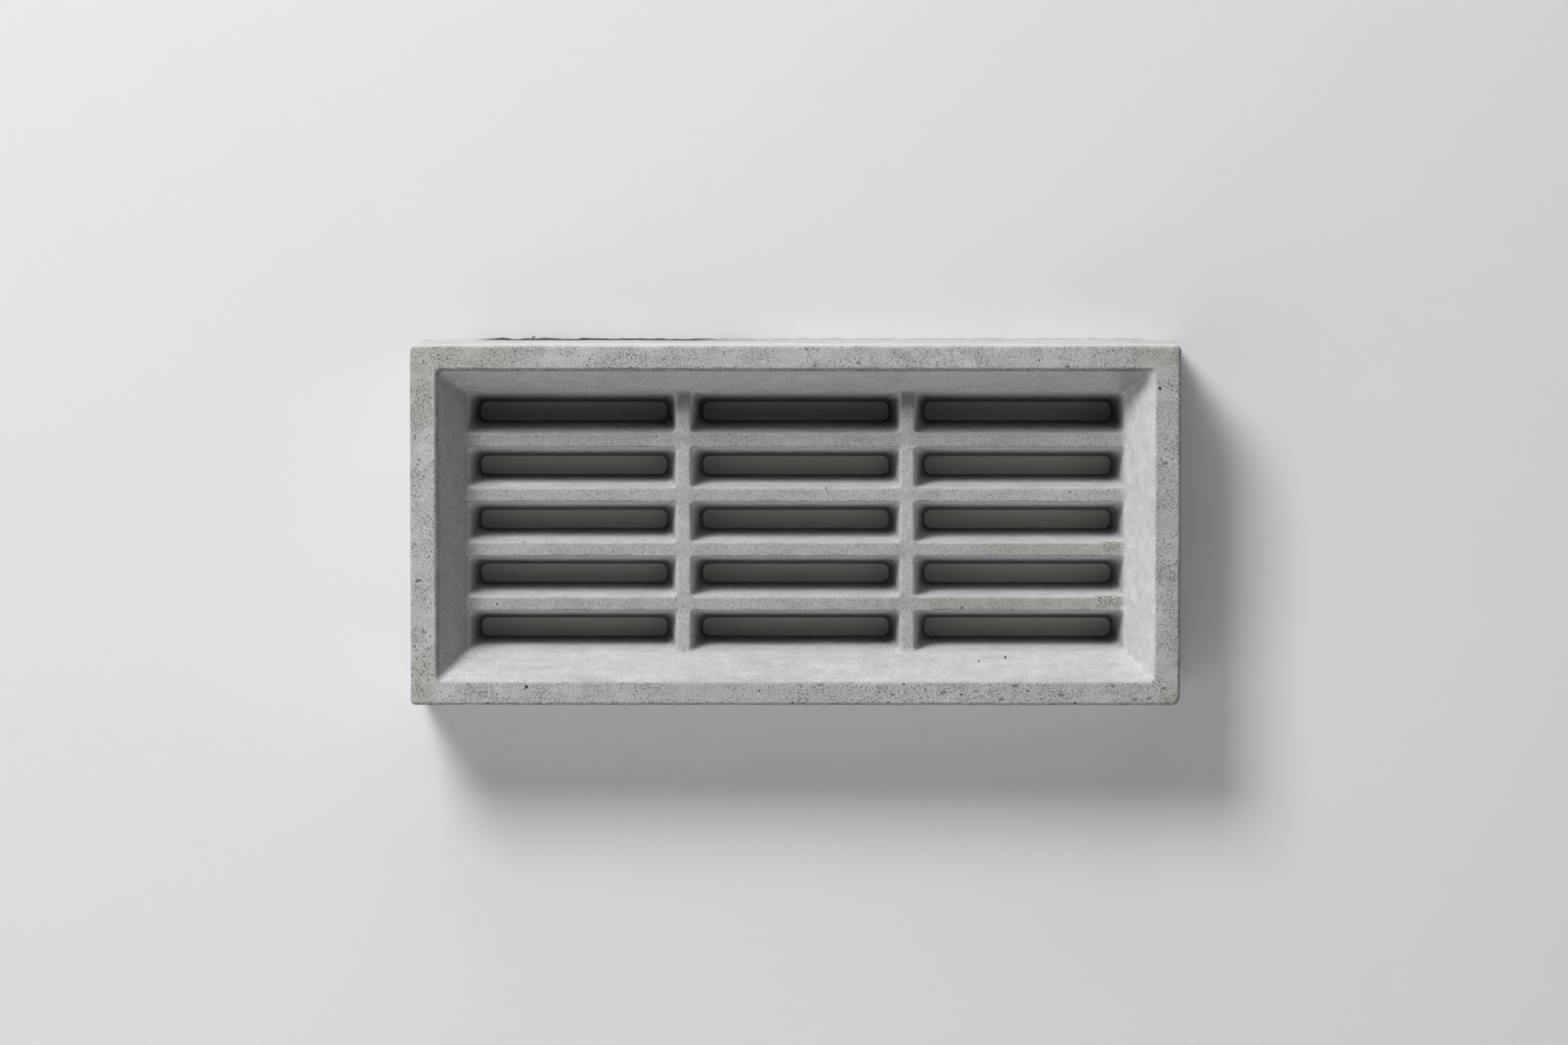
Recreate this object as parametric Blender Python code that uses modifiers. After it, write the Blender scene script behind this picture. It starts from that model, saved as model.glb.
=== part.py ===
"""Foundation vent: one block of cast concrete, built into a wall for under-floor air.

The face is a raised rim round a splayed recess. Bars and mullions cross the foot of the
recess, and the slots between them narrow on their way through to the flat back. Metres,
+Z up, front towards -Y, origin under the middle of the bed face.
"""

import math

import bmesh
import bpy

# The whole block, as it fills its gap in a wall.
WIDTH = 0.406
HEIGHT = 0.190
DEPTH = 0.076

# Outside edges: the four that run front to back, then those round the front and the back.
CORNER_RADIUS = 0.0024
EDGE_RADIUS = 0.0020

# The rim, seen from the front, and the recess inside it.
RIM_SIDE = 0.0142
RIM_TOP = 0.0129
RECESS_DEPTH = 0.034
SPLAY_SIDE = 0.0144
SPLAY_TOP = 0.0131
RECESS_CORNER_RADIUS = 0.0030
RECESS_EDGE_RADIUS = 0.0016

# The grid at the foot of the recess. Bars lie across, mullions stand between the columns.
COLUMNS = 3
ROWS = 5
MULLION_WIDTH = 0.0076
BAR_HEIGHT = 0.0069
GRID_EDGE_RADIUS = 0.0011
MOUTH_CORNER_RADIUS = 0.0025

# Bars and mullions thicken towards the back, where the slots are narrowest and a little lower.
BACK_WEB = 0.0184
BACK_DROP = 0.0013
BACK_CORNER_RADIUS = 0.0037

# How far cutters run past what they cut, and how far each slot laps into the splay beside it.
OVERRUN = 0.003
LAP = 0.00015

# Facets of each quarter circle: corners seen from the front, and edges seen in section.
CORNER_STEPS = 5
EDGE_STEPS = 3

FRONT_Y = -DEPTH / 2
GRID_Y = FRONT_Y + RECESS_DEPTH
BACK_Y = DEPTH / 2
MIDDLE_Z = HEIGHT / 2

GRID_WIDTH = WIDTH - 2 * (RIM_SIDE + SPLAY_SIDE)
GRID_HEIGHT = HEIGHT - 2 * (RIM_TOP + SPLAY_TOP)
COLUMN_PITCH = (GRID_WIDTH + MULLION_WIDTH) / COLUMNS
ROW_PITCH = (GRID_HEIGHT + BAR_HEIGHT) / ROWS


def clear_scene():
    for old in list(bpy.data.objects):
        bpy.data.objects.remove(old, do_unlink=True)


def new_collection(name):
    collection = bpy.data.collections.new(name)
    bpy.context.scene.collection.children.link(collection)
    return collection


def concrete():
    """Grey cement paste with a faint olive cast, matt all over."""
    material = bpy.data.materials.new("cast_concrete")
    material.use_nodes = True
    shader = material.node_tree.nodes["Principled BSDF"]
    shader.inputs["Base Color"].default_value = (0.40, 0.40, 0.385, 1.0)
    shader.inputs["Roughness"].default_value = 0.92
    shader.inputs["Metallic"].default_value = 0.0
    return material


def rounded_rectangle(y, left, right, low, high, radius):
    """Points round one section in the plane y, a quarter circle at each corner."""
    radius = min(radius, 0.49 * (right - left), 0.49 * (high - low))
    corners = (
        (right - radius, high - radius, 0),
        (left + radius, high - radius, 1),
        (left + radius, low + radius, 2),
        (right - radius, low + radius, 3),
    )
    points = []
    for centre_x, centre_z, quarter in corners:
        for step in range(CORNER_STEPS + 1):
            angle = math.pi / 2 * (quarter + step / CORNER_STEPS)
            x = centre_x + radius * math.cos(angle)
            z = centre_z + radius * math.sin(angle)
            points.append((x, y, z))
    return points


def loft(name, sections, collection):
    """One closed cutter skinned through sections that run from front to back."""
    mesh = bpy.data.meshes.new(name)
    shape = bmesh.new()
    rings = [[shape.verts.new(point) for point in section] for section in sections]
    count = len(rings[0])
    for front, back in zip(rings, rings[1:]):
        for i in range(count):
            j = (i + 1) % count
            shape.faces.new((front[i], front[j], back[j], back[i]))
    shape.faces.new(rings[0][::-1])
    shape.faces.new(rings[-1])
    bmesh.ops.recalc_face_normals(shape, faces=shape.faces)
    shape.to_mesh(mesh)
    shape.free()
    cutter = bpy.data.objects.new(name, mesh)
    cutter.hide_render = True
    cutter.display_type = "WIRE"
    collection.objects.link(cutter)
    return cutter


def edge_steps(radius):
    """Depths below a face, and the flare left at each, along a rounded edge of that radius."""
    steps = []
    for i in range(EDGE_STEPS + 1):
        angle = math.pi / 2 * i / EDGE_STEPS
        steps.append((radius * (1 - math.cos(angle)), radius * (1 - math.sin(angle))))
    return steps


def make_recess_cutter(collection):
    """The splayed hollow, from the rim's rounded inner edge down to the grid."""
    half_width = WIDTH / 2 - RIM_SIDE
    half_height = HEIGHT / 2 - RIM_TOP

    def section(depth, flare):
        share = depth / RECESS_DEPTH
        across = half_width - share * (SPLAY_SIDE + LAP) + flare
        up = half_height - share * (SPLAY_TOP + LAP) + flare
        radius = RECESS_CORNER_RADIUS + share * (MOUTH_CORNER_RADIUS - RECESS_CORNER_RADIUS) + flare
        y = FRONT_Y + depth
        return rounded_rectangle(y, -across, across, MIDDLE_Z - up, MIDDLE_Z + up, radius)

    sections = [section(depth, flare) for depth, flare in edge_steps(RECESS_EDGE_RADIUS)]
    sections.append(section(RECESS_DEPTH, 0.0))
    before = [(x, y - OVERRUN, z) for x, y, z in sections[0]]
    return loft("recess_cutter", [before] + sections, collection)


def make_slot_cutter(column, row, collection):
    """One slot. A side next to a bar or mullion gets a rounded edge at the mouth, and a side
    next to the splay carries on forwards until it meets the splay."""
    centre_x = (column - (COLUMNS - 1) / 2) * COLUMN_PITCH
    centre_z = MIDDLE_Z + (row - (ROWS - 1) / 2) * ROW_PITCH
    mouth_half_width = (COLUMN_PITCH - MULLION_WIDTH) / 2
    mouth_half_height = (ROW_PITCH - BAR_HEIGHT) / 2
    taper_x = (BACK_WEB - MULLION_WIDTH) / 2
    taper_z = (BACK_WEB - BAR_HEIGHT) / 2
    web_depth = DEPTH - RECESS_DEPTH

    def section(depth, flare):
        share = depth / web_depth
        splayed = share < 0
        across = mouth_half_width - taper_x * max(share, 0)
        up = mouth_half_height - taper_z * max(share, 0)
        ahead_x = -taper_x * share if splayed else 0.0
        ahead_z = -taper_z * share if splayed else 0.0
        left = across + (ahead_x if column == 0 else flare)
        right = across + (ahead_x if column == COLUMNS - 1 else flare)
        low = up + (ahead_z if row == 0 else flare)
        high = up + (ahead_z if row == ROWS - 1 else flare)
        radius = MOUTH_CORNER_RADIUS + max(share, 0) * (BACK_CORNER_RADIUS - MOUTH_CORNER_RADIUS)
        z = centre_z - BACK_DROP * share
        y = GRID_Y + depth
        return rounded_rectangle(y, centre_x - left, centre_x + right, z - low, z + high, radius)

    sections = [section(-OVERRUN, GRID_EDGE_RADIUS)]
    sections += [section(depth, flare) for depth, flare in edge_steps(GRID_EDGE_RADIUS)]
    sections.append(section(web_depth, 0.0))
    sections.append([(x, BACK_Y + OVERRUN, z) for x, y, z in sections[-1]])
    return loft(f"slot_cutter_{column}_{row}", sections, collection)


def make_block(collection):
    """The plain block: corners rounded in the mesh, front and back edges by a modifier."""
    mesh = bpy.data.meshes.new("vent_block")
    shape = bmesh.new()
    bmesh.ops.create_cube(shape, size=1.0)
    bmesh.ops.scale(shape, vec=(WIDTH, DEPTH, HEIGHT), verts=shape.verts)
    bmesh.ops.translate(shape, vec=(0.0, 0.0, MIDDLE_Z), verts=shape.verts)
    front_to_back = [
        edge for edge in shape.edges if abs(edge.verts[0].co.y - edge.verts[1].co.y) > DEPTH / 2
    ]
    bmesh.ops.bevel(
        shape,
        geom=front_to_back,
        offset=CORNER_RADIUS,
        segments=CORNER_STEPS,
        profile=0.5,
        affect="EDGES",
    )
    shape.to_mesh(mesh)
    shape.free()
    block = bpy.data.objects.new("vent_block", mesh)
    collection.objects.link(block)
    edges = block.modifiers.new("rounded_edges", "BEVEL")
    edges.width = EDGE_RADIUS
    edges.segments = EDGE_STEPS
    edges.limit_method = "ANGLE"
    edges.angle_limit = math.radians(40)
    return block


def cut(block, name, cutter):
    boolean = block.modifiers.new(name, "BOOLEAN")
    boolean.operation = "DIFFERENCE"
    boolean.solver = "EXACT"
    boolean.object = cutter


clear_scene()
vent = new_collection("foundation_vent")
cutters = new_collection("cutters")

vent_block = make_block(vent)
vent_block.data.materials.append(concrete())
cut(vent_block, "recess", make_recess_cutter(cutters))
for slot_row in range(ROWS):
    for slot_column in range(COLUMNS):
        slot = make_slot_cutter(slot_column, slot_row, cutters)
        cut(vent_block, f"slot_{slot_column}_{slot_row}", slot)
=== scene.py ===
import math
from itertools import product

import bpy
import numpy as np
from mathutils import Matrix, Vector


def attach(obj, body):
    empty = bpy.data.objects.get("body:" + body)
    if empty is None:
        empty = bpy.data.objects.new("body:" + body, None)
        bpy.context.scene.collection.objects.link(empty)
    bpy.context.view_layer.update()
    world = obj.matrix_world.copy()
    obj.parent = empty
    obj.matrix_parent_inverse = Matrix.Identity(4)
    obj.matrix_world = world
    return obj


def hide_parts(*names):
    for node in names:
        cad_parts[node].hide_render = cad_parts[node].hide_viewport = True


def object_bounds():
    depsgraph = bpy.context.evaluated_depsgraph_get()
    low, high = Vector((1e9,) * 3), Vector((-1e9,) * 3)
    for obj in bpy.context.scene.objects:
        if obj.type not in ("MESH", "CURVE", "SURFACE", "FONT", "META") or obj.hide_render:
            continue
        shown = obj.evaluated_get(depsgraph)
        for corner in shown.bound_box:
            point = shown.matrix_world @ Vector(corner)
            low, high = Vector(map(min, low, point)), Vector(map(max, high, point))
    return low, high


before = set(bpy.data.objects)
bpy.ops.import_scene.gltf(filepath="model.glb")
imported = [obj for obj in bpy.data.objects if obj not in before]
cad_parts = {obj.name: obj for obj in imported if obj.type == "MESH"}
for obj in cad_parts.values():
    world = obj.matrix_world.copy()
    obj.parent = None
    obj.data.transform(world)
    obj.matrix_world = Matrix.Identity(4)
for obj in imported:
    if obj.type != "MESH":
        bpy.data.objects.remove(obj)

cad_low, cad_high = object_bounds()

# The vent block: one casting of grey concrete, struck from a mould, so its arrises are soft and
# slightly ragged. It is one closed skin: a patch for each slot, from the middle of the bars
# round it to the back, and a ring for the splay, the rim, the outside and the back.
width, depth, height = cad_high - cad_low
front_y = cad_low.y
back_y = cad_high.y
middle_z = (cad_low.z + cad_high.z) / 2

# Sizes in metres, as drawn, but for a few softer corners and the undersides of the bars, which
# hang a little lower at the mouth.
rim_side = 0.0142
rim_top = 0.0129
recess_depth = 0.034
splay_side = 0.0144
splay_top = 0.0131
recess_corner = 0.0030
recess_edge = 0.0016
outside_corner = 0.0026
outside_edge = 0.0020
columns = 3
rows = 5
mullion_width = 0.0076
bar_height = 0.0069
grid_edge = 0.0011
under_edge = 0.0004
under_drop = 0.0005
mouth_corner = 0.0025
back_web = 0.0184
back_drop = 0.0013
back_corner = 0.0042
back_edge = 0.0005
splay_start = 0.0014
splay_roll = 0.0012

grid_y = front_y + recess_depth
web_depth = back_y - grid_y
grid_width = width - 2 * (rim_side + splay_side)
grid_height = height - 2 * (rim_top + splay_top)
column_pitch = (grid_width + mullion_width) / columns
row_pitch = (grid_height + bar_height) / rows

# How pale the cement is, from damp grey (0) to white bloom (1), and how worn and shaded the
# arrises are. The paleness is partly the cement's own tone and partly painted light and shade:
# paler on the sides that face the lamps and on the top face, darker on the sides in shade and
# deep in the slots, darker on the top bar's front for the rim's shadow and paler on its sloping
# top for light. The arris darkening is partly wear and partly painted shade, strongest along the
# edges that turn from the light. Sets of four go low, right, high, left, as the sides do.
rim_pales = np.array([0.28, 0.25, 0.33, 0.36])
bar_pale = 0.18
top_bar_pale = 0.02
top_sill_pale = 0.50
mullion_pale = 0.34
splay_pales = np.array([0.90, 1.00, 0.28, 0.04])
outside_pales = np.array([0.20, 0.30, 0.98, 0.62])
wall_pales = np.array([0.95, 1.00, 0.36, 0.60])
deep_pale = 0.22
back_pale = 0.40
splay_wear_shades = np.array([0.10, 0.10, 1.00, 0.85])
outside_wear_shades = np.array([0.90, 0.75, 0.10, 0.15])
web_wear_shades = np.array([0.10, 0.20, 1.10, 0.55])

# How deep in the slots the walls start to darken with painted shade, and where they are darkest.
deep_shade_starts = np.array([0.031, 0.001, 0.018, 0.005])
deep_shade_ends = np.array([0.0415, 0.022, 0.036, 0.040])
low_row_deep_shade = 0.020

# How finely the skin is divided: points along the sides and round a corner, and turns of an edge.
steps_along = 62
steps_up = 7
steps_corner = 6
quarter_steps = np.radians([22.5, 45, 67.5, 90])
low_side, right_side, high_side, left_side = range(4)


def corner_shape(roundness):
    """Unit corner from (0, 1) to (1, 0) by equal angles: a square corner where roundness is 0, a
    quarter circle where it is 1, and a blend of the two between. Rows follow roundness."""
    angle = np.linspace(0, np.pi / 2, steps_corner + 1)[:-1]
    circle = np.stack([np.sin(angle), np.cos(angle)])
    square = circle / circle.max(axis=0)
    share = np.asarray(roundness)[:, None, None]
    return square * (1 - share) + circle * share


def loops(sides, radii, roundness, shares, carried):
    """Closed loops round rectangles, one for each row of sides (left, right, low, high).

    The straight points of a side lie at the given shares of its length between two corners, and
    a corner is the unit shape stretched by that corner's two radii. The carried values (depth y,
    skin, pale, wear with painted edge shade, and painted deep shade) are each side's own on its
    straight part, and ease from one side to the next round a corner by the smooth step 3t² - 2t³.
    Sides and shares go low, right, high, left. Corners go low right, high right, high left, low
    left.
    """
    left, right, low, high = sides.T
    corner_x = np.stack([right, right, left, left])
    corner_z = np.stack([low, high, high, low])
    inward_x = np.array([-1, -1, 1, 1])[:, None]
    inward_z = np.array([1, -1, -1, 1])[:, None]
    centre_x = corner_x + inward_x * radii[..., 0].T
    centre_z = corner_z + inward_z * radii[..., 1].T
    turn = np.arange(steps_corner) / steps_corner
    turn = (turn * turn * (3 - 2 * turn))[None, :, None]
    parts = []
    for side in range(4):
        start = side - 1
        share = shares[side][None, :]
        along_x = side in (low_side, high_side)
        x_from = centre_x[start] if along_x else corner_x[side]
        x_to = centre_x[side] if along_x else corner_x[side]
        z_from = corner_z[side] if along_x else centre_z[start]
        z_to = corner_z[side] if along_x else centre_z[side]
        x = x_from[:, None] * (1 - share) + x_to[:, None] * share
        z = z_from[:, None] * (1 - share) + z_to[:, None] * share
        here = carried[:, side][:, None, :]
        after = carried[:, (side + 1) % 4][:, None, :]
        values = np.repeat(here, x.shape[1], axis=1)
        parts.append(np.concatenate([np.stack([x, z], axis=-1), values], axis=-1))
        ahead, aside = np.moveaxis(corner_shape(roundness[:, side]), 1, 0)
        across, up = (ahead, aside) if along_x else (aside, ahead)
        x = centre_x[side][:, None] - inward_x[side] * radii[:, side, 0][:, None] * across
        z = centre_z[side][:, None] - inward_z[side] * radii[:, side, 1][:, None] * up
        values = here * (1 - turn) + after * turn
        parts.append(np.concatenate([np.stack([x, z], axis=-1), values], axis=-1))
    x, z, y, *others = np.moveaxis(np.concatenate(parts, axis=1), -1, 0)
    return np.stack([x, y, z, *others], axis=-1)


def splay_offset(below, splay_slope, slot_slope):
    """How far inside the grid's edge line a wall lies at a depth below the grid plane: the splay's
    slope above it, the slot's below it, and a hyperbola of width splay_roll joining them."""
    above = (below - np.sqrt(below**2 + splay_roll**2)) / 2
    return slot_slope * below + (splay_slope - slot_slope) * above


# The rings down a slot, by their depth below the grid plane: the bar's flat front, its rounded
# edge, the wall, the small edge at the back, and the back face out to the middle of the web.
flat_rings = 2
flat_share = 0.75
mouth_turn = np.concatenate([[0.0], quarter_steps])
mouth_depths = np.concatenate([np.zeros(flat_rings), grid_edge * (1 - np.cos(mouth_turn))])
wall_shares = np.array([0.008, 0.07, 0.15, 0.24, 0.34, 0.45, 0.56, 0.67, 0.78, 0.89, 1.0])
wall_depths = grid_edge + (web_depth - back_edge - grid_edge) * wall_shares
back_turn = np.radians([45, 90])
turned_depths = web_depth - back_edge * (1 - np.sin(back_turn))
back_depths = np.full(2, web_depth)
below_grid = np.concatenate([mouth_depths, wall_depths, turned_depths, back_depths])
mouth_rings = len(mouth_depths)
wall_end = mouth_rings + len(wall_depths)

# The share of smooth skin and the wear of the arris, ring by ring, at the mouth and at the back,
# and how round the corners are over a web's front and over its back.
mouth_skins = [0, 0, 0.05, 0.2, 0.45, 0.75, 0.95]
mouth_wears = np.array([0, 0, 0.3, 0.8, 1.0, 1.0, 0.8])
back_skins = [0.7, 0.4, 0.3, 0.3]
back_wears = [0.4, 1.0, 0.6, 0.0, 0.0]
front_roundness = [0.0, 0.5, 1.0]
back_roundness = [0.5, 0.0]


def slot_profile(web, edge, splay_slope, pales, web_wear_shade, deep_shade_from, deep_shade_to):
    """Down one side of a slot's patch: the distance inside its boundary line, and then the depth
    y, the share of smooth skin, how pale it is, the wear and painted shade of the arris and the
    painted deep shade at each ring.

    Web is its half width at the face and at the back, and pales are the splay's, the wall's and
    the web's. Beside a bar there is no splay slope, and the profile runs over the bar's flat
    front, a quarter-round edge, the tapering wall, the small edge at the back and the back face
    out to the middle of the web. Beside the splay, the boundary lies on the splay a little
    above the grid, and the wall runs on from it.
    """
    half_web, half_back = web
    splay_pale, wall_pale, web_pale = pales
    slope = (half_back - half_web) / web_depth
    below = below_grid.copy()
    skin = np.ones(len(below))
    wear_shade = np.zeros(len(below))
    deep_shade = np.clip((below - deep_shade_from) / (deep_shade_to - deep_shade_from), 0, 1)
    pale = wall_pale + (deep_pale - wall_pale) * deep_shade
    skin[wall_end:] = back_skins
    pale[wall_end:] = back_pale
    deep_shade[wall_end:] = 0
    wear_shade[wall_end - 1 :] = back_wears
    if splay_slope is None:
        below[:mouth_rings] *= edge / grid_edge
        start = half_web - edge
        rounded = start + edge * np.sin(mouth_turn) + slope * below[flat_rings:mouth_rings]
        tapered = half_web + slope * wall_depths
        inside = np.concatenate([[0.0, start * flat_share], rounded, tapered])
        skin[:mouth_rings] = mouth_skins
        pale[:mouth_rings] = web_pale + (wall_pale - web_pale) * skin[:mouth_rings]
        wear_shade[:mouth_rings] = web_wear_shade * mouth_wears
    else:
        below[:mouth_rings] = np.linspace(-splay_start, grid_edge, mouth_rings)
        inside = splay_offset(below[:wall_end], splay_slope, slope)
        past_splay = np.clip((below[:wall_end] - grid_edge) / (2 * grid_edge), 0, 1)
        pale[:wall_end] = splay_pale * (1 - past_splay) + pale[:wall_end] * past_splay
    turned = inside[-1] - back_edge * (1 - np.cos(back_turn))
    inside = np.concatenate([inside, turned, [turned[-1] / 2, 0.0]])
    return inside, np.stack([grid_y + below, skin, pale, wear_shade, deep_shade], axis=-1)


def slot_patch(column, row):
    """All the loops of one slot's patch, from its front boundary to its back one: x, y, z, skin,
    pale, wear with painted edge shade, and painted deep shade for each point. A corner between
    two webs is square at the boundary, so that the patches meet, and round from the bar's front
    face on."""
    splayed = (row == 0, column == columns - 1, row == rows - 1, column == 0)
    centre_x = (column - (columns - 1) / 2) * column_pitch
    centre_z = middle_z + (row - (rows - 1) / 2) * row_pitch
    inside, carried, line, edge = [], [], [], []
    for side, on_splay in enumerate(splayed):
        fall = (-back_drop, 0.0, back_drop, 0.0)[side]
        under_web = side == high_side and not on_splay
        # Bar 1, under the top rim: its front is painted darker for the rim's shadow, and its
        # sloping top is painted paler for light.
        over_top_bar = (row, side) == (rows - 1, low_side)
        under_top_bar = (row, side) == (rows - 2, high_side)
        if side in (right_side, left_side):
            web, pitch, run, web_pale = mullion_width, column_pitch, splay_side, mullion_pale
        else:
            web, pitch, run = bar_height, row_pitch, splay_top
            web_pale = top_bar_pale if over_top_bar or under_top_bar else bar_pale
        offsets, values = slot_profile(
            (web / 2 + (under_drop if under_web else 0.0), back_web / 2 + fall),
            under_edge if under_web else grid_edge,
            run / recess_depth if on_splay else None,
            (splay_pales[side], top_sill_pale if over_top_bar else wall_pales[side], web_pale),
            web_wear_shades[side],
            low_row_deep_shade if on_splay and side == low_side else deep_shade_starts[side],
            deep_shade_ends[side],
        )
        inside.append(offsets)
        carried.append(values)
        edge.append((pitch - web) / 2)
        line.append(edge[-1] + (0.0 if on_splay else web / 2))
    reaches = np.array(line)[:, None] - np.array(inside)
    low, right, high, left = reaches
    sides = np.stack([centre_x - left, centre_x + right, centre_z - low, centre_z + high], axis=1)
    share = np.clip((below_grid - grid_edge) / (web_depth - grid_edge), 0, 1)
    radius = mouth_corner + share * (back_corner - mouth_corner)
    radii = np.empty((len(sides), 4, 2))
    roundness = np.ones((len(sides), 4))
    for corner in range(4):
        after = (corner + 1) % 4
        meeting = (after, corner) if corner in (low_side, high_side) else (corner, after)
        for axis, side in enumerate(meeting):
            reach = reaches[side]
            at_mouth = reach - edge[side] + mouth_corner
            radii[:, corner, axis] = np.where(share > 0, radius, at_mouth)
            radii[-2:, corner, axis] = reach[-2:] - reach[-3] + back_corner
        if not (splayed[corner] and splayed[after]):
            roundness[:3, corner] = front_roundness
            roundness[-2:, corner] = back_roundness
    shares = [np.arange(n) / n for n in (steps_along, steps_up, steps_along, steps_up)]
    return loops(sides, radii, roundness, shares, np.stack(carried, axis=1))


patches = np.array([[slot_patch(c, r) for c in range(columns)] for r in range(rows)])
patch_rings, patch_points = patches.shape[2:4]


def boundary(ring_number):
    """For each side of the whole grid, from low round to left: its straight points and its corner
    points, taken from one ring of the outer slots, and the share of the side for each."""
    lengths = [steps_along, steps_up, steps_along, steps_up]
    starts = np.cumsum([0] + [n + steps_corner for n in lengths])
    cells_of = [
        [(0, c) for c in range(columns)],
        [(r, columns - 1) for r in range(rows)],
        [(rows - 1, c) for c in reversed(range(columns))],
        [(r, 0) for r in reversed(range(rows))],
    ]
    sides = []
    for side, cells in enumerate(cells_of):
        pieces = []
        for place, (row, column) in enumerate(cells):
            first = starts[side] - (0 if place == 0 else steps_corner // 2)
            last = starts[side] + lengths[side]
            last += 0 if place == len(cells) - 1 else steps_corner // 2
            around = np.arange(first, last) % patch_points
            pieces.append(patches[row, column, ring_number, around])
        straight = np.concatenate(pieces)
        row, column = cells[-1]
        around = starts[side] + lengths[side] + np.arange(steps_corner)
        corner = patches[row, column, ring_number, around]
        axis = 0 if side in (low_side, high_side) else 2
        share = (straight[:, axis] - straight[0, axis]) / (corner[0, axis] - straight[0, axis])
        sides.append((straight, corner, share))
    return sides


def stretch(across, up, radius, y, skin=0, splay=0, outside=0, splay_wear=0, outside_wear=0):
    """One stretch of the rim's section: each value ring by ring, or one value for all its rings."""
    values = (across, up, radius, y, skin, splay, outside, splay_wear, outside_wear)
    return np.stack(np.broadcast_arrays(*values))


def ring_profile():
    """Down the section of the rim, for each ring: half width, half height, corner radius, depth y,
    share of smooth skin, shares of the splay's and the outside's paleness, and of their wear and
    painted edge shade.

    From just above the grid up the splay, round the inner edge, over the flat rim, round
    the outer edge, along the outside, round the back edge and in over the back face.
    """
    splay_rings, outside_rings, back_rings = 18, 14, 6
    close_ring = 0.0002
    arris_wear = 0.9
    rise = np.linspace(splay_start, recess_depth - recess_edge, splay_rings + 1)[1:]
    rise = np.insert(rise, -1, rise[-1] - close_ring)
    slope_x = (back_web - mullion_width) / 2 / web_depth
    slope_z = (back_web - bar_height) / 2 / web_depth
    x = grid_width / 2 - splay_offset(-rise, splay_side / recess_depth, slope_x)
    z = grid_height / 2 - splay_offset(-rise, splay_top / recess_depth, slope_z)
    radius = mouth_corner + (recess_corner - mouth_corner) * rise / recess_depth
    worn_and_shaded = np.where(rise >= rise[-2], arris_wear, 0)
    splay = stretch(x, z, radius, grid_y - rise, skin=1, splay=1, splay_wear=worn_and_shaded)

    inner_x = width / 2 - rim_side
    inner_z = height / 2 - rim_top
    out = recess_edge * (1 - np.cos(quarter_steps))
    inner_edge = stretch(
        inner_x + out,
        inner_z + out,
        recess_corner + out,
        front_y + recess_edge * (1 - np.sin(quarter_steps)),
        skin=[0.9, 0.65, 0.3, 0.1],
        splay=[0.85, 0.5, 0.2, 0],
        splay_wear=[1, 0.9, 0.5, 0.1],
    )

    corner_tuck = 0.6
    over = np.array([0.03, 0.15, 0.3, 0.45, 0.6, 0.75, 0.88, 0.97, 1.0])
    x = inner_x + recess_edge + (rim_side - outside_edge - recess_edge) * over
    z = inner_z + recess_edge + (rim_top - outside_edge - recess_edge) * over
    tight = outside_corner - outside_edge * corner_tuck
    inner_radius = recess_corner + recess_edge
    flat_rim = stretch(x, z, inner_radius + (tight - inner_radius) * over, front_y)

    turn = np.radians([18, 36, 54, 72, 90])
    short = outside_edge * (1 - np.sin(turn))
    outer_edge = stretch(
        width / 2 - short,
        height / 2 - short,
        tight + (outside_corner - tight) * np.sin(turn),
        front_y + outside_edge * (1 - np.cos(turn)),
        skin=[0, 0.1, 0.3, 0.5, 0.7],
        outside=[0, 0.2, 0.5, 0.8, 1],
        outside_wear=[0.5, 1, 1, 1, 0.6],
    )

    back = np.array([0.01, *np.linspace(0, 1, outside_rings + 2)[1:-1], 0.99, 1.0])
    y = front_y + outside_edge + (depth - 2 * outside_edge) * back
    outside = stretch(width / 2, height / 2, outside_corner, y, skin=0.8, outside=1)

    turn = np.radians([30, 60, 90])
    short = outside_edge * (1 - np.cos(turn))
    far_edge = stretch(
        width / 2 - short,
        height / 2 - short,
        outside_corner - short * corner_tuck,
        back_y - outside_edge * (1 - np.sin(turn)),
        skin=[0.7, 0.5, 0.4],
        outside=[0.8, 0.5, 0.3],
        outside_wear=[1, 1, 0.6],
    )

    inward = np.linspace(0, 1, back_rings + 2)[1:-1]
    x = width / 2 - outside_edge - (rim_side + splay_side - outside_edge) * inward
    z = height / 2 - outside_edge - (rim_top + splay_top - outside_edge) * inward
    back_face = stretch(x, z, outside_corner, back_y, skin=0.3)
    stretches = [splay, inner_edge, flat_rim, outer_edge, outside, far_edge, back_face]
    return np.concatenate(stretches, axis=1)


front_sides = boundary(0)
back_sides = boundary(-1)
half_x, half_z, ring_radius, ring_y, ring_skin, *ring_shares = ring_profile()
splay_share, outside_share, splay_worn, outside_worn = np.array(ring_shares)[..., None]
on_back = (ring_y > back_y - outside_edge)[:, None]
neither_pale = np.where(on_back, back_pale, rim_pales)
ring_pale = splay_share * splay_pales + outside_share * outside_pales
ring_pale += (1 - splay_share - outside_share) * neither_pale
ring_wear_shade = splay_worn * splay_wear_shades + outside_worn * outside_wear_shades
ring_deep_shade = np.zeros(ring_wear_shade.shape)
ring_y, ring_skin = np.repeat([ring_y, ring_skin], 4, axis=-1).reshape(2, -1, 4)
ring_carried = np.stack([ring_y, ring_skin, ring_pale, ring_wear_shade, ring_deep_shade], axis=-1)
ring_sides = np.stack([-half_x, half_x, middle_z - half_z, middle_z + half_z], axis=1)

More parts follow.
